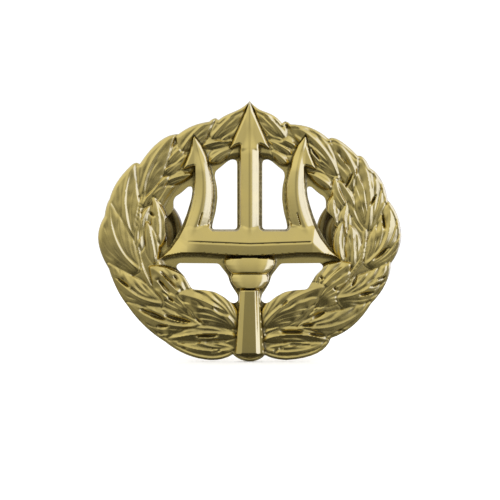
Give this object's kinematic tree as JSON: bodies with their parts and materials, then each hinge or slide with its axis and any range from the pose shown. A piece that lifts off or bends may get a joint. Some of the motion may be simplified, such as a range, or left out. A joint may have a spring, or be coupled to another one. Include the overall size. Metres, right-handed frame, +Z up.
{
  "type": "cap badge",
  "caption": "Pierced oval laurel wreath badge with a raised trident, worn on two back posts with butterfly clutches.",
  "frame": {"origin": "on the badge's flat back plane, midway between the two posts", "axes": "+X across the badge to the viewer's right, +Z up as worn, +Y out of the back along the posts; the badge faces -Y"},
  "size_m": [0.0422, 0.0117, 0.0363],
  "materials": {
    "gilded_brass": "polished, with darker hollows",
    "post_brass": "satin",
    "clutch_brass": "aged, dull",
    "spring_bronze": "satin",
    "solder": "as flowed"
  },
  "bodies": {
    "badge": {"wreath": "gilded_brass", "trident": "gilded_brass", "left_post_pad": "post_brass", "left_post_pin": "post_brass", "left_solder_ring": "solder", "right_post_pad": "post_brass", "right_post_pin": "post_brass", "right_solder_ring": "solder"},
    "left_clutch": {"left_clutch_disc": "clutch_brass", "left_clutch_hub": "clutch_brass", "left_spring_bridge": "spring_bronze"},
    "left_upper_wing": {"left_upper_wing": "spring_bronze"},
    "left_lower_wing": {"left_lower_wing": "spring_bronze"},
    "right_clutch": {"right_clutch_disc": "clutch_brass", "right_clutch_hub": "clutch_brass", "right_spring_bridge": "spring_bronze"},
    "right_upper_wing": {"right_upper_wing": "spring_bronze"},
    "right_lower_wing": {"right_lower_wing": "spring_bronze"}
  },
  "joints": [
    {"name": "left_clutch_pull", "type": "slide", "parent": "badge", "child": "left_clutch", "axis": [0, 1, 0], "range_m": [0, 0.014]},
    {"name": "left_wing_squeeze", "type": "hinge", "parent": "left_clutch", "child": "left_upper_wing", "pos_m": [-0.0151, 0.0044, 0.00245], "axis": [-1, 0, 0], "range_deg": [0, 12], "stiffness_Nm_per_rad": 0.002},
    {"name": "left_lower_wing_squeeze", "type": "hinge", "parent": "left_clutch", "child": "left_lower_wing", "pos_m": [-0.0151, 0.0044, -0.00245], "axis": [1, 0, 0], "range_deg": [0, 12], "stiffness_Nm_per_rad": 0.002},
    {"name": "right_clutch_pull", "type": "slide", "parent": "badge", "child": "right_clutch", "axis": [0, 1, 0], "range_m": [0, 0.014]},
    {"name": "right_wing_squeeze", "type": "hinge", "parent": "right_clutch", "child": "right_upper_wing", "pos_m": [0.0151, 0.0044, 0.00245], "axis": [-1, 0, 0], "range_deg": [0, 12], "stiffness_Nm_per_rad": 0.002},
    {"name": "right_lower_wing_squeeze", "type": "hinge", "parent": "right_clutch", "child": "right_lower_wing", "pos_m": [0.0151, 0.0044, -0.00245], "axis": [1, 0, 0], "range_deg": [0, 12], "stiffness_Nm_per_rad": 0.002}
  ],
  "couplings": [
    {"joint": "left_lower_wing_squeeze", "follows": "left_wing_squeeze", "ratio": 1},
    {"joint": "right_lower_wing_squeeze", "follows": "right_wing_squeeze", "ratio": 1}
  ]
}
